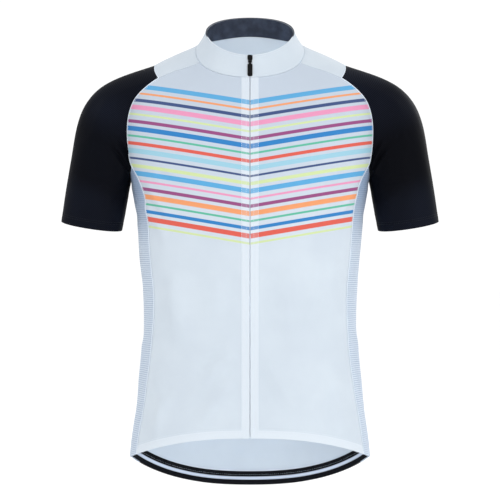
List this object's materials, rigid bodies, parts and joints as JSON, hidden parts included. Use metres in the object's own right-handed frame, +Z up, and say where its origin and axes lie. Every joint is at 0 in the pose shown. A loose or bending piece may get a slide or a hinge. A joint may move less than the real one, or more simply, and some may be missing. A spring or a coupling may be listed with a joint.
{
  "type": "short-sleeved cycling jersey",
  "caption": "Fitted short-sleeved cycling jersey with a stand collar, full front zip, mesh side panels and a dropped tail with an elastic gripper.",
  "frame": {"origin": "centre of the neck's base, level with the shoulders that hold the jersey up", "axes": "+X to the wearer's left, -Y to the front, +Z up"},
  "size_m": [0.603, 0.2348, 0.7674],
  "materials": {
    "white_knit": "smooth polyester knit",
    "side_mesh": "open mesh knit",
    "black_knit": "fine knit with a soft sheen",
    "navy_lining": "smooth knit",
    "white_tape": "woven tape",
    "black_elastic": "ribbed elastic",
    "black_metal": "semi-gloss"
  },
  "bodies": {
    "jersey": {"front_right": "white_knit", "front_left": "white_knit", "side_panel_right": "side_mesh", "side_panel_left": "side_mesh", "back": "white_knit", "sleeve_right": "black_knit", "sleeve_left": "black_knit", "collar": "white_knit", "collar_lining": "navy_lining", "zip_tape_right": "white_tape", "zip_tape_left": "white_tape", "zip_coil": "white_tape", "hem_elastic": "black_elastic", "pocket_patch": "white_knit", "zip_slider": "black_metal"},
    "zip_pull": {"zip_pull": "black_metal"}
  },
  "joints": [
    {"name": "zip_pull_swing", "type": "hinge", "parent": "jersey", "child": "zip_pull", "pos_m": [0, -0.07323, -0.00673], "axis": [-1, 0, 0], "range_deg": [0, 160]}
  ]
}
